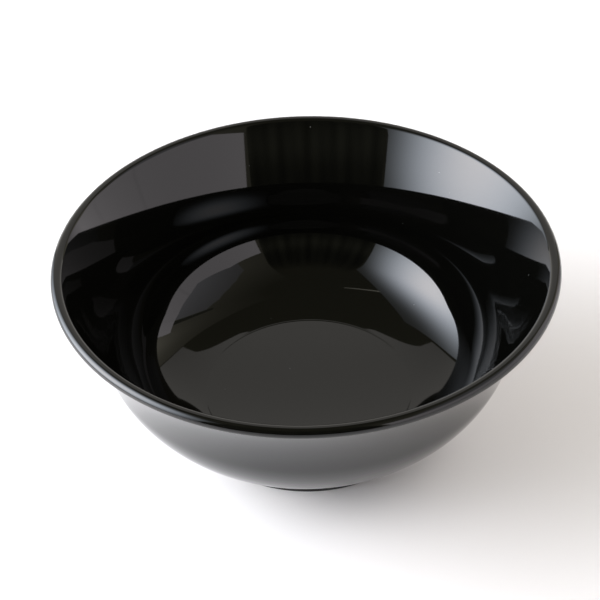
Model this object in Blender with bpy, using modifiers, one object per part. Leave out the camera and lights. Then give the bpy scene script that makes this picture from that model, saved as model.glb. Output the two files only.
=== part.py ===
"""A glossy black moulded bowl: a dished floor, a deep belly, a flared wall, a rounded lip and a foot ring.

The bowl is one moulding, so it is one solid. Its half section is drawn once, from the middle of the
floor up the inside, over the lip and down the outside to the foot, and a Screw modifier turns it
round the Z axis. The origin is the middle of the ring that the bowl stands on.
"""

from math import cos, hypot, radians, sin, tau

import bpy

MM = 0.001

# Driving dimensions, in millimetres.
RIM_RADIUS = 100.0
HEIGHT = 80.5
FOOT_RADIUS = 49.2
FLOOR_RADIUS = 42.4

# The lip: a round bead with a narrow flat along its top.
LIP_WIDTH = 4.95
LIP_OUTER_ROUND = 2.35
LIP_INNER_ROUND = 2.3

# The dished floor, and the low ring moulded round it.
FLOOR_HEIGHT = 8.8
FLOOR_DISH = 3.3
FLOOR_EDGE_ANGLE = 8.9
RING_STEP = 0.4
RING_RISE = 0.085

# The foot ring.
FOOT_HEIGHT = 5.6
FOOT_WIDTH = 3.5
FOOT_DRAFT = 0.9
FOOT_ROUND = 0.5
RECESS_DEPTH = 5.4
RECESS_DISH = 2.8
RECESS_ROUND = 1.2

# Stations of the wall, from the bottom up: radius, height and the angle of the wall from level.
FLOOR_EDGE = (FLOOR_RADIUS, FLOOR_HEIGHT + FLOOR_DISH, FLOOR_EDGE_ANGLE)
RING_STEEP = (FLOOR_RADIUS + RING_STEP, FLOOR_EDGE[1] + RING_RISE, 16.0)
RING_CREST = (RING_STEEP[0] + RING_STEP, RING_STEEP[1] + RING_RISE, 8.0)
INNER_FOOT = (RING_CREST[0] + RING_STEP, RING_CREST[1] + RING_RISE, 12.0)
INNER_TURN = (54.5, 15.5, 19.0)
INNER_BELLY = (69.1, 24.5, 48.0)
INNER_STEEPEST = (78.7, 42.5, 78.0)
LIP_ROOT_ANGLE = 56.8
OUTER_FOOT_TOP = (FOOT_RADIUS + FOOT_DRAFT, FOOT_HEIGHT, 32.0)
OUTER_BELLY = (70.5, 23.0, 46.5)
OUTER_STEEPEST = (82.7, 44.3, 75.0)
OUTER_LIP_ROOT = (96.2, 75.7, 58.0)

# Fineness.
STEPS_AROUND = 64
STEPS_PER_WALL = 6
STEPS_PER_ROUND = 4
STEPS_PER_DISH = 4

BLACK = (0.0012, 0.0012, 0.001, 1.0)
GLOSS_ROUGHNESS = 0.04


def arc(centre, radius, start, end, steps):
    """Points on a circle from one angle to another, in degrees, both ends included."""
    angles = [radians(start + (end - start) * i / steps) for i in range(steps + 1)]
    return [(centre[0] + radius * cos(a), centre[1] + radius * sin(a)) for a in angles]


def wall_between(lower, upper, steps):
    """Points on a cubic curve between two stations, leaving each at its own wall angle."""
    (r0, z0, a0), (r1, z1, a1) = lower, upper
    a0, a1 = radians(a0), radians(a1)
    reach = hypot(r1 - r0, z1 - z0) / 3 / cos((a1 - a0) / 4) ** 2
    handles = (
        (r0, z0),
        (r0 + reach * cos(a0), z0 + reach * sin(a0)),
        (r1 - reach * cos(a1), z1 - reach * sin(a1)),
        (r1, z1),
    )
    points = []
    for i in range(steps + 1):
        t = i / steps
        weights = ((1 - t) ** 3, 3 * (1 - t) ** 2 * t, 3 * (1 - t) * t * t, t**3)
        points.append(tuple(sum(w * h[k] for w, h in zip(weights, handles)) for k in (0, 1)))
    return points


def wall(stations, steps):
    """The curve through all the stations, from the bottom up."""
    points = [stations[0][:2]]
    for lower, upper in zip(stations, stations[1:]):
        points += wall_between(lower, upper, steps)[1:]
    return points


def dish(radius, middle, rise):
    """Points from the middle of a dished face to just short of its edge."""
    shares = [i / STEPS_PER_DISH for i in range(STEPS_PER_DISH)]
    return [(radius * share, middle + rise * share**2) for share in shares]


def inside():
    """From the middle of the floor to the inner edge of the lip's flat top."""
    centre = (RIM_RADIUS - LIP_WIDTH + LIP_INNER_ROUND, HEIGHT - LIP_INNER_ROUND)
    edge = arc(centre, LIP_INNER_ROUND, 90.0 + LIP_ROOT_ANGLE, 90.0, STEPS_PER_ROUND)
    floor = dish(FLOOR_RADIUS, FLOOR_HEIGHT, FLOOR_DISH)
    ring = wall((FLOOR_EDGE, RING_STEEP, RING_CREST, INNER_FOOT), STEPS_PER_ROUND)
    stations = (INNER_FOOT, INNER_TURN, INNER_BELLY, INNER_STEEPEST, (*edge[0], LIP_ROOT_ANGLE))
    return floor + ring[:-1] + wall(stations, STEPS_PER_WALL) + edge[1:]


def outside():
    """From the outer edge of the lip's flat top down to the top of the foot ring."""
    centre = (RIM_RADIUS - LIP_OUTER_ROUND, HEIGHT - LIP_OUTER_ROUND)
    bead = arc(centre, LIP_OUTER_ROUND, 90.0, -90.0, 2 * STEPS_PER_ROUND)
    stations = (OUTER_FOOT_TOP, OUTER_BELLY, OUTER_STEEPEST, OUTER_LIP_ROOT)
    return bead + wall(stations, STEPS_PER_WALL)[::-1]


def foot():
    """Down the outside of the foot ring, across its flat and up to the middle of the recess."""
    outer = FOOT_RADIUS - FOOT_ROUND
    inner = FOOT_RADIUS - FOOT_WIDTH + FOOT_ROUND
    recess = FOOT_RADIUS - FOOT_WIDTH - RECESS_ROUND
    corner = (recess, RECESS_DEPTH + RECESS_DISH - RECESS_ROUND)
    heel = arc((outer, FOOT_ROUND), FOOT_ROUND, 0.0, -90.0, STEPS_PER_ROUND)
    toe = arc((inner, FOOT_ROUND), FOOT_ROUND, -90.0, -180.0, STEPS_PER_ROUND)
    hollow = arc(corner, RECESS_ROUND, 0.0, 90.0, STEPS_PER_ROUND)
    return heel + toe + hollow + dish(recess, RECESS_DEPTH, RECESS_DISH)[::-1]


def bowl_material():
    material = bpy.data.materials.new("glossy_black_plastic")
    material.use_nodes = True
    shader = material.node_tree.nodes["Principled BSDF"]
    shader.inputs["Base Color"].default_value = BLACK
    shader.inputs["Roughness"].default_value = GLOSS_ROUGHNESS
    shader.inputs["Metallic"].default_value = 0.0
    return material


def make_bowl(collection):
    section = inside() + outside() + foot()
    mesh = bpy.data.meshes.new("bowl")
    vertices = [(radius * MM, 0.0, height * MM) for radius, height in section]
    mesh.from_pydata(vertices, [(i, i + 1) for i in range(len(vertices) - 1)], [])
    mesh.materials.append(bowl_material())
    bowl = bpy.data.objects.new("bowl", mesh)
    collection.objects.link(bowl)
    screw = bowl.modifiers.new("turn", "SCREW")
    screw.axis = "Z"
    screw.angle = tau
    screw.steps = STEPS_AROUND
    screw.render_steps = STEPS_AROUND
    screw.use_smooth_shade = True
    screw.use_merge_vertices = True
    screw.merge_threshold = 0.00001
    return bowl


def main():
    for obj in list(bpy.data.objects):
        bpy.data.objects.remove(obj)
    collection = bpy.data.collections.new("footed_bowl")
    bpy.context.scene.collection.children.link(collection)
    make_bowl(collection)


main()
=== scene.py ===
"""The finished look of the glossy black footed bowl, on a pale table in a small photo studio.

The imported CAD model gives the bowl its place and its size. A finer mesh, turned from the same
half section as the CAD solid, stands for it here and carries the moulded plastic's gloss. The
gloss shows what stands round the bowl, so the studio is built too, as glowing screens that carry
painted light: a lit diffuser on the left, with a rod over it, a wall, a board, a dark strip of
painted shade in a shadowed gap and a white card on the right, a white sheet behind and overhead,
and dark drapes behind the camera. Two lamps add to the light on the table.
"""

from math import atan, cos, degrees, exp, hypot, pi, radians, sin, tan, tau

import bpy
from mathutils import Matrix, Vector


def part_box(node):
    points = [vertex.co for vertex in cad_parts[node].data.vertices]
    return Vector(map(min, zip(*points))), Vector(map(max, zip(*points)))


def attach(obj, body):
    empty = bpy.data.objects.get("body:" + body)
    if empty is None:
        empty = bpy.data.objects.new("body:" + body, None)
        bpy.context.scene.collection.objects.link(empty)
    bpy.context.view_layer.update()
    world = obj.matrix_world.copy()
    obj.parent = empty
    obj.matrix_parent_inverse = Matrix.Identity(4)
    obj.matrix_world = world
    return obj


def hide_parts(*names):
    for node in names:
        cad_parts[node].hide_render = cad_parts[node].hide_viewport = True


MM = 0.001

# The bowl's half section, in millimetres, as in the CAD model. The rim's radius and the height are
# read from the frame.
FOOT_RADIUS = 49.2
FLOOR_RADIUS = 42.4
LIP_WIDTH = 4.95
LIP_OUTER_ROUND = 2.35
LIP_INNER_ROUND = 2.3
FLOOR_HEIGHT = 8.8
FLOOR_DISH = 3.3
FLOOR_EDGE_ANGLE = 8.9
RING_STEP = 0.4
RING_RISE = 0.085
FOOT_HEIGHT = 5.6
FOOT_WIDTH = 3.5
FOOT_DRAFT = 0.9
FOOT_ROUND = 0.5
RECESS_DEPTH = 5.4
RECESS_DISH = 2.8
RECESS_ROUND = 1.2

# Stations of the wall, from the bottom up: radius, height and the angle of the wall from level.
FLOOR_EDGE = (FLOOR_RADIUS, FLOOR_HEIGHT + FLOOR_DISH, FLOOR_EDGE_ANGLE)
RING_STEEP = (FLOOR_RADIUS + RING_STEP, FLOOR_EDGE[1] + RING_RISE, 16.0)
RING_CREST = (RING_STEEP[0] + RING_STEP, RING_STEEP[1] + RING_RISE, 8.0)
INNER_FOOT = (RING_CREST[0] + RING_STEP, RING_CREST[1] + RING_RISE, 12.0)
INNER_TURN = (54.5, 15.5, 19.0)
INNER_BELLY = (69.1, 24.5, 48.0)
INNER_STEEPEST = (78.7, 42.5, 78.0)
LIP_ROOT_ANGLE = 56.8
OUTER_FOOT_TOP = (FOOT_RADIUS + FOOT_DRAFT, FOOT_HEIGHT, 32.0)
OUTER_BELLY = (70.5, 23.0, 46.5)
OUTER_STEEPEST = (82.7, 44.3, 75.0)
OUTER_LIP_ROOT = (96.2, 75.7, 58.0)

# Fineness of the bowl's mesh.
STEPS_AROUND = 256
STEPS_PER_WALL = 16
STEPS_PER_ROUND = 8
STEPS_PER_DISH = 24

# The camera: distance in rim radii from the bowl's middle, and angles in degrees.
CAMERA_DISTANCE = 8.0
CAMERA_ELEVATION = 40.45
CAMERA_TURN = 0.188
CAMERA_LIFT = 1.028
CAMERA_ROLL = -1.4346
LENS_MM = 118.45

# The moulded plastic: its colour, the spread of its roughness, and its ripple's depth in metres.
PLASTIC_COLOUR = (0.0011, 0.0011, 0.0009, 1.0)
PLASTIC_IOR = 1.5
POLISHED, WIPED = 0.02, 0.05
RIPPLE_DEPTH = 0.00002

# The dust on it: its colour, the cells to a metre, a dot's radius in cells, and the share of the
# cells that stay clean.
DUST_COLOUR = (0.10, 0.10, 0.095, 1.0)
DUST_CELLS = 260.0
DUST_RADIUS = 0.05
DUST_FREE = 0.93

# The table: a flat square, in metres.
TABLE_HALF_SIZE = 4.0
TABLE_COLOUR = (0.66, 0.645, 0.635, 1.0)
TABLE_ROUGHNESS = 0.6

# The light of the dark room, and of the backdrop that only the camera sees.
ROOM = (0.12, 0.115, 0.078)
BACKDROP = (0.9, 0.89, 0.88)

# Fineness of the studio's pieces: degrees across, and rows from bottom to top.
SCREEN_STEP = 1.0
SCREEN_ROWS = 24

# The studio, piece by piece. An azimuth is measured in degrees from +Y towards +X. Each outline
# gives the azimuth of some upright lines across the piece, with the elevations of their two ends.
# The diffuser has the outline that a flat cloth would show the bowl, one that faces it and is
# CLOTH_HEIGHT times as high as it is far away.
CLOTH_AZIMUTH = -85.0
CLOTH_HEIGHT = 2.25
CLOTH_LINES = [-137.6 + 6.2 * i for i in range(17)]
LIT_WALL = [(38.8, 0.0, 78.0), (152.5, 0.0, 78.0)]
BOARD = [
    (69.0, 0.0, 57.0),
    (83.0, 0.0, 60.5),
    (104.0, 0.0, 59.0),
    (119.0, 0.0, 55.0),
    (134.0, 0.0, 45.0),
]
# A dark strip of painted shade, where a gap beside the board lies in shadow.
SHADOW_GAP = [(64.5, 36.0, 60.0), (68.5, 36.0, 60.0)]
CARD = [
    (46.0, 0.0, 21.0),
    (57.8, 0.0, 21.0),
    (58.0, 0.0, 38.0),
    (75.0, 0.0, 38.0),
    (104.0, 0.0, 31.0),
    (128.0, 0.0, 36.0),
    (149.6, 0.0, 33.7),
    (151.1, 33.0, 33.5),
]
# Azimuths of the card's two creases, where painted shade darkens it.
CARD_FOLDS = (69.4, 94.0)
SHEET = [
    (-36.6, 0.0, 46.0),
    (-30.0, 0.0, 48.0),
    (-20.0, 0.0, 58.0),
    (0.0, 0.0, 62.0),
    (20.0, 0.0, 58.0),
    (30.0, 0.0, 48.0),
    (38.0, 0.0, 46.0),
]
DRAPES = [(152.5, 0.0, 62.0), (221.0, 0.0, 62.0)]
ROD = [(-87.4, 66.0, 78.5), (-84.2, 66.0, 78.5)]

# The two lamps: place and size in metres, power in watts, and tint.
KEY_LAMP = ((-0.25, -0.1, 0.12), 0.2, 0.95, (1.0, 0.99, 1.0))
FILL_LAMP = ((0.4, 0.12, 0.34), 0.4, 2.0, (1.0, 0.965, 0.95))


def arc(centre, radius, start, end, steps):
    """Points on a circle from one angle to another, in degrees, both ends included."""
    angles = [radians(start + (end - start) * i / steps) for i in range(steps + 1)]
    return [(centre[0] + radius * cos(a), centre[1] + radius * sin(a)) for a in angles]


def wall_between(lower, upper, steps):
    """Points on a cubic curve between two stations, leaving each at its own wall angle."""
    (r0, z0, a0), (r1, z1, a1) = lower, upper
    a0, a1 = radians(a0), radians(a1)
    reach = hypot(r1 - r0, z1 - z0) / 3 / cos((a1 - a0) / 4) ** 2
    handles = (
        (r0, z0),
        (r0 + reach * cos(a0), z0 + reach * sin(a0)),
        (r1 - reach * cos(a1), z1 - reach * sin(a1)),
        (r1, z1),
    )
    points = []
    for i in range(steps + 1):
        t = i / steps
        weights = ((1 - t) ** 3, 3 * (1 - t) ** 2 * t, 3 * (1 - t) * t * t, t**3)
        points.append(tuple(sum(w * h[k] for w, h in zip(weights, handles)) for k in (0, 1)))
    return points


def wall(stations, steps):
    """The curve through all the stations, from the bottom up."""
    points = [stations[0][:2]]
    for lower, upper in zip(stations, stations[1:]):
        points += wall_between(lower, upper, steps)[1:]
    return points


def dish(radius, middle, rise):
    """Points from the middle of a dished face to just short of its edge, closer together there."""
    shares = [1 - (1 - i / STEPS_PER_DISH) ** 2 for i in range(STEPS_PER_DISH)]
    return [(radius * share, middle + rise * share**2) for share in shares]


def inside(rim_radius, height):
    """From the middle of the floor to the inner edge of the lip's flat top."""
    centre = (rim_radius - LIP_WIDTH + LIP_INNER_ROUND, height - LIP_INNER_ROUND)
    edge = arc(centre, LIP_INNER_ROUND, 90.0 + LIP_ROOT_ANGLE, 90.0, STEPS_PER_ROUND)
    floor = dish(FLOOR_RADIUS, FLOOR_HEIGHT, FLOOR_DISH)
    ring = wall((FLOOR_EDGE, RING_STEEP, RING_CREST, INNER_FOOT), STEPS_PER_ROUND)
    stations = (INNER_FOOT, INNER_TURN, INNER_BELLY, INNER_STEEPEST, (*edge[0], LIP_ROOT_ANGLE))
    return floor + ring[:-1] + wall(stations, STEPS_PER_WALL) + edge[1:]


def outside(rim_radius, height):
    """From the outer edge of the lip's flat top down to the top of the foot ring."""
    centre = (rim_radius - LIP_OUTER_ROUND, height - LIP_OUTER_ROUND)
    bead = arc(centre, LIP_OUTER_ROUND, 90.0, -90.0, 2 * STEPS_PER_ROUND)
    stations = (OUTER_FOOT_TOP, OUTER_BELLY, OUTER_STEEPEST, OUTER_LIP_ROOT)
    return bead + wall(stations, STEPS_PER_WALL)[::-1]


def foot():
    """Down the outside of the foot ring, across its flat and up to the middle of the recess."""
    outer = FOOT_RADIUS - FOOT_ROUND
    inner = FOOT_RADIUS - FOOT_WIDTH + FOOT_ROUND
    recess = FOOT_RADIUS - FOOT_WIDTH - RECESS_ROUND
    corner = (recess, RECESS_DEPTH + RECESS_DISH - RECESS_ROUND)
    heel = arc((outer, FOOT_ROUND), FOOT_ROUND, 0.0, -90.0, STEPS_PER_ROUND)
    toe = arc((inner, FOOT_ROUND), FOOT_ROUND, -90.0, -180.0, STEPS_PER_ROUND)
    hollow = arc(corner, RECESS_ROUND, 0.0, 90.0, STEPS_PER_ROUND)
    return heel + toe + hollow + dish(recess, RECESS_DEPTH, RECESS_DISH)[::-1]


def node(tree, kind, **settings):
    """A new node with its settings: each name is a socket's, or else an attribute's."""
    made = tree.nodes.new(kind)
    for name, value in settings.items():
        socket = name.replace("_", " ").title()
        if socket in made.inputs:
            made.inputs[socket].default_value = value
        else:
            setattr(made, name, value)
    return made


def moulded_plastic():
    """Polished black plastic: glassy, with a faint ripple, wiped patches and a little dust."""
    material = bpy.data.materials.new("glossy_black_plastic")
    material.use_nodes = True
    tree = material.node_tree
    link = tree.links.new
    shader = tree.nodes["Principled BSDF"]
    shader.inputs["IOR"].default_value = PLASTIC_IOR
    place = node(tree, "ShaderNodeTexCoord").outputs["Object"]

    # Dust: a pale dot in a few of the cells.
    cells = node(tree, "ShaderNodeTexVoronoi", scale=DUST_CELLS)
    link(place, cells.inputs["Vector"])
    dot = node(tree, "ShaderNodeMath", operation="LESS_THAN")
    dot.inputs[1].default_value = DUST_RADIUS
    link(cells.outputs["Distance"], dot.inputs[0])
    chance = node(tree, "ShaderNodeSeparateColor")
    link(cells.outputs["Color"], chance.inputs["Color"])
    rare = node(tree, "ShaderNodeMath", operation="GREATER_THAN")
    rare.inputs[1].default_value = DUST_FREE
    link(chance.outputs["Red"], rare.inputs[0])
    dust = node(tree, "ShaderNodeMath", operation="MULTIPLY")
    link(dot.outputs["Value"], dust.inputs[0])
    link(rare.outputs["Value"], dust.inputs[1])

    colour = node(tree, "ShaderNodeMix", data_type="RGBA")
    colour.inputs["A"].default_value = PLASTIC_COLOUR
    colour.inputs["B"].default_value = DUST_COLOUR
    link(dust.outputs["Value"], colour.inputs["Factor"])
    link(colour.outputs["Result"], shader.inputs["Base Color"])

    # Roughness: patches that have been wiped over are a little duller.
    patches = node(tree, "ShaderNodeTexNoise", scale=28.0, detail=4.0)
    link(place, patches.inputs["Vector"])
    gloss = node(tree, "ShaderNodeMapRange", to_min=POLISHED, to_max=WIPED)
    link(patches.outputs["Fac"], gloss.inputs["Value"])
    link(gloss.outputs["Result"], shader.inputs["Roughness"])

    # Bump: the mould's faint ripple.
    ripple = node(tree, "ShaderNodeTexNoise", scale=55.0, detail=1.0)
    link(place, ripple.inputs["Vector"])
    bump = node(tree, "ShaderNodeBump", strength=0.25, distance=RIPPLE_DEPTH)
    link(ripple.outputs["Fac"], bump.inputs["Height"])
    link(bump.outputs["Normal"], shader.inputs["Normal"])
    return material


def make_bowl():
    """The bowl, turned from its half section, in the place of the CAD solid."""
    _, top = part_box("bowl")
    rim_radius, height = top.x / MM, top.z / MM
    section = inside(rim_radius, height) + outside(rim_radius, height) + foot()
    mesh = bpy.data.meshes.new("moulded_bowl")
    vertices = [(radius * MM, 0.0, level * MM) for radius, level in section]
    mesh.from_pydata(vertices, [(i, i + 1) for i in range(len(vertices) - 1)], [])
    mesh.materials.append(moulded_plastic())
    bowl = bpy.data.objects.new("moulded_bowl", mesh)
    bpy.context.scene.collection.objects.link(bowl)
    screw = bowl.modifiers.new("turn", "SCREW")
    screw.axis = "Z"
    screw.angle = tau
    screw.steps = screw.render_steps = STEPS_AROUND
    screw.use_smooth_shade = True
    screw.use_merge_vertices = True
    screw.merge_threshold = 0.00001
    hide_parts("bowl")
    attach(bowl, "root")


def bell(value, middle, width):
    """A smooth hump: 1 in the middle, and 0.6 at one width from it."""
    return exp(-(((value - middle) / width) ** 2) / 2)


def mix(low, high, share):
    """A point or colour this share of the way from one to another."""
    return [a + (b - a) * share for a, b in zip(low, high)]


def above_room(level, tint):
    """This much tinted light more than the dark room's own."""
    return [room + level * part for room, part in zip(ROOM, tint)]


def diffuser_light(azimuth, elevation):
    """A lamp's broad pool of light on the cloth, bluer where it is dimmer.

    The pool leans and widens a little with height. Across and up are measured on the flat cloth,
    in its distance from the bowl.
    """
    turn = radians(azimuth - CLOTH_AZIMUTH)
    across, up = tan(turn), tan(radians(elevation)) / cos(turn)
    pool = bell(across, -0.09 - 0.06 * up, 0.475 + 0.065 * up) * bell(up, 0.5, 0.56)
    return above_room(0.16 + 11.6 * pool, mix((0.92, 1.0, 1.12), (1.01, 1.0, 1.04), pool**3))


def lit_wall_light(azimuth, elevation):
    """The wall on the right: dim, with painted shade higher up and a painted glow low down beside
    the sheet.
    """
    fade = max(0.0, min(1.0, (78.0 - elevation) / 38.0))
    glow = 0.55 * bell(azimuth, 53.0, 6.0) * bell(elevation, 12.0, 18.0)
    return above_room(0.34 * fade * bell(azimuth, 90.0, 50.0) + glow, (1.0, 0.94, 0.78))


def board_light(azimuth, elevation):
    """A board against that wall, with painted light that is brightest low down and towards the
    sheet.
    """
    level = (0.62 - 0.0125 * (elevation - 38.0)) * bell(azimuth, 85.0, 45.0)
    return above_room(level, (1.0, 1.0, 1.12))


def card_light(azimuth, elevation):
    """A white card in front of the board, with painted shade along its two creases, and painted
    dimmer at the end beside the sheet.
    """
    left_fold, right_fold = CARD_FOLDS
    fold_shade = 0.07 * bell(azimuth, left_fold, 0.6) + 0.1 * bell(azimuth, right_fold, 0.6)
    level = (1.42 + 0.2 * (min(azimuth - 103.0, 45.0) / 45.0) ** 2) * (1.0 - fold_shade)
    level *= max(0.45, min(1.0, (azimuth - 40.0) / 18.0))
    return [level * part for part in (1.0, 0.945, 0.975)]


def sheet_light(azimuth, elevation):
    """A white sheet, with painted light brighter along its top hem, near the table and beside the
    diffuser.
    """
    low = bell(elevation, 0.0, 14.0) * (0.6 + 0.5 * bell(azimuth, -40.0, 12.0))
    level = 0.7 + 0.17 * bell(elevation, 58.0, 6.0) - 0.12 * (azimuth / 37.0) ** 2 + low
    return [level * part for part in (1.0, 0.965, 0.9)]


def drape_light(azimuth, elevation):
    """Dark cloth with painted light and shade across its vertical pleats, painted lightest half way
    up and as light as the room at the top.
    """
    fold_shading = sin(radians(azimuth * 42.0)) * sin(radians(azimuth * 11.0 + elevation * 2.0))
    level = (0.042 + 0.055 * bell(elevation, 28.0, 5.0)) * (1.0 + 0.4 * fold_shading)
    rise = max(0.0, (elevation - 40.0) / 22.0) ** 2
    return mix([level * part for part in (1.0, 1.0, 0.72)], ROOM, rise)


def rod_light(azimuth, elevation):
    """A rod that shines the same all over."""
    return (1.25, 1.2, 1.0)


def shadow_gap_light(azimuth, elevation):
    """A dark strip of painted shade, the same all over, where a gap beside the board lies in
    shadow.
    """
    return (0.13, 0.13, 0.1)


def shining(name):
    """A material that gives off the light that is stored at each point of its mesh."""
    material = bpy.data.materials.new(name)
    material.use_nodes = True
    tree = material.node_tree
    tree.nodes.clear()
    stored = node(tree, "ShaderNodeAttribute", attribute_name="light")
    light = node(tree, "ShaderNodeEmission", strength=1.0)
    output = node(tree, "ShaderNodeOutputMaterial")
    tree.links.new(stored.outputs["Color"], light.inputs["Color"])
    tree.links.new(light.outputs["Emission"], output.inputs["Surface"])
    return material


def screen(name, distance, outline, light):
    """A piece of the studio that stands round the bowl, this many metres away.

    It glows with painted light, lights the table and shows in the bowl's gloss.
    """
    lines = []
    for (az0, low0, high0), (az1, low1, high1) in zip(outline, outline[1:]):
        steps = max(1, round(abs(az1 - az0) / SCREEN_STEP))
        lines += [mix((az0, low0, high0), (az1, low1, high1), i / steps) for i in range(steps)]
    lines.append(outline[-1])
    points, colours = [], []
    for azimuth, low, high in lines:
        for j in range(SCREEN_ROWS + 1):
            elevation = low + (high - low) * j / SCREEN_ROWS
            side, ahead = sin(radians(azimuth)), cos(radians(azimuth))
            points.append([distance * part for part in (side, ahead, tan(radians(elevation)))])
            colours += [*light(azimuth, elevation), 1.0]
    rows = SCREEN_ROWS + 1
    corners = [i * rows + j for i in range(len(lines) - 1) for j in range(SCREEN_ROWS)]
    mesh = bpy.data.meshes.new(name)
    mesh.from_pydata(points, [], [(k, k + rows, k + rows + 1, k + 1) for k in corners])
    mesh.attributes.new("light", "FLOAT_COLOR", "POINT").data.foreach_set("color", colours)
    mesh.materials.append(shining(name))
    piece = bpy.data.objects.new(name, mesh)
    bpy.context.scene.collection.objects.link(piece)
    piece.visible_camera = False
    piece.visible_shadow = False


def make_studio():
    """The pieces of the studio, all round the table, as glowing screens of painted light."""
    cloth = []
    for azimuth in CLOTH_LINES:
        top = degrees(atan(CLOTH_HEIGHT * cos(radians(azimuth - CLOTH_AZIMUTH))))
        cloth.append((azimuth, 0.0, top))
    screen("diffuser", 1.7, cloth, diffuser_light)
    screen("lit_wall", 1.8, LIT_WALL, lit_wall_light)
    screen("board", 1.6, BOARD, board_light)
    # A dark strip of painted shade in the shadowed gap beside the board.
    screen("shadow_gap", 1.65, SHADOW_GAP, shadow_gap_light)
    screen("card", 1.5, CARD, card_light)
    screen("sheet", 1.6, SHEET, sheet_light)
    screen("drapes", 1.8, DRAPES, drape_light)
    screen("rod", 1.6, ROD, rod_light)


def lamp(name, place, size, power, tint):
    """A soft square lamp that is aimed at the bowl, and is not itself seen or mirrored."""
    data = bpy.data.lights.new(name, "AREA")
    data.size = size
    data.energy = power
    data.color = tint
    light = bpy.data.objects.new(name, data)
    light.location = place
    light.rotation_euler = (-Vector(place)).to_track_quat("-Z", "Y").to_euler()
    light.visible_camera = False
    light.visible_glossy = False
    bpy.context.scene.collection.objects.link(light)


def make_table():
    """The pale table that the bowl stands on."""
    size = TABLE_HALF_SIZE
    mesh = bpy.data.meshes.new("table")
    corners = [(-size, -size, 0.0), (size, -size, 0.0), (size, size, 0.0), (-size, size, 0.0)]
    mesh.from_pydata(corners, [], [(0, 1, 2, 3)])
    material = bpy.data.materials.new("pale_laminate")
    material.use_nodes = True
    shader = material.node_tree.nodes["Principled BSDF"]
    shader.inputs["Base Color"].default_value = TABLE_COLOUR
    shader.inputs["Roughness"].default_value = TABLE_ROUGHNESS
    mesh.materials.append(material)
    table = bpy.data.objects.new("table", mesh)
    bpy.context.scene.collection.objects.link(table)


def make_world():
    """The dark room round the studio, and the pale backdrop that the camera sees past the table."""
    world = bpy.data.worlds.new("room")
    bpy.context.scene.world = world
    world.use_nodes = True
    tree = world.node_tree
    tree.nodes.clear()
    rays = node(tree, "ShaderNodeLightPath")
    room = node(tree, "ShaderNodeBackground", color=(*ROOM, 1.0), strength=1.0)
    backdrop = node(tree, "ShaderNodeBackground", color=(*BACKDROP, 1.0), strength=1.0)
    chosen = node(tree, "ShaderNodeMixShader")
    output = node(tree, "ShaderNodeOutputWorld")
    tree.links.new(rays.outputs["Is Camera Ray"], chosen.inputs["Fac"])
    tree.links.new(room.outputs["Background"], chosen.inputs[1])
    tree.links.new(backdrop.outputs["Background"], chosen.inputs[2])
    tree.links.new(chosen.outputs["Shader"], output.inputs["Surface"])


def make_camera():
    """The camera looks at the bowl's middle, then turns, lifts and rolls a little to frame it."""
    _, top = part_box("bowl")
    elevation = radians(CAMERA_ELEVATION)
    away = Vector((0.0, -cos(elevation), sin(elevation))) * CAMERA_DISTANCE * top.x
    data = bpy.data.cameras.new("camera")
    data.lens = LENS_MM
    camera = bpy.data.objects.new("camera", data)
    camera.matrix_world = (
        Matrix.Translation(Vector((0.0, 0.0, top.z / 2)) + away)
        @ Matrix.Rotation(pi / 2 - elevation, 4, "X")
        @ Matrix.Rotation(radians(CAMERA_TURN), 4, "Y")
        @ Matrix.Rotation(radians(CAMERA_LIFT), 4, "X")
        @ Matrix.Rotation(radians(CAMERA_ROLL), 4, "Z")
    )
    bpy.context.scene.collection.objects.link(camera)
    bpy.context.scene.camera = camera


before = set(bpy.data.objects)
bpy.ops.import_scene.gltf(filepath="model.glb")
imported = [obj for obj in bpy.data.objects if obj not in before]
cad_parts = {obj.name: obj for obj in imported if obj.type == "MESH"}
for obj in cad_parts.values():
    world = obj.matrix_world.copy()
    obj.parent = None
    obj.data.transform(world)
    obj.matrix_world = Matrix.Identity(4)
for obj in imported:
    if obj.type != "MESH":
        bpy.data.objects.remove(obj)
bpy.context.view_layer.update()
make_bowl()
make_table()
make_studio()
lamp("key", *KEY_LAMP)
lamp("fill", *FILL_LAMP)
make_world()
make_camera()
bpy.context.scene.view_settings.view_transform = "Standard"
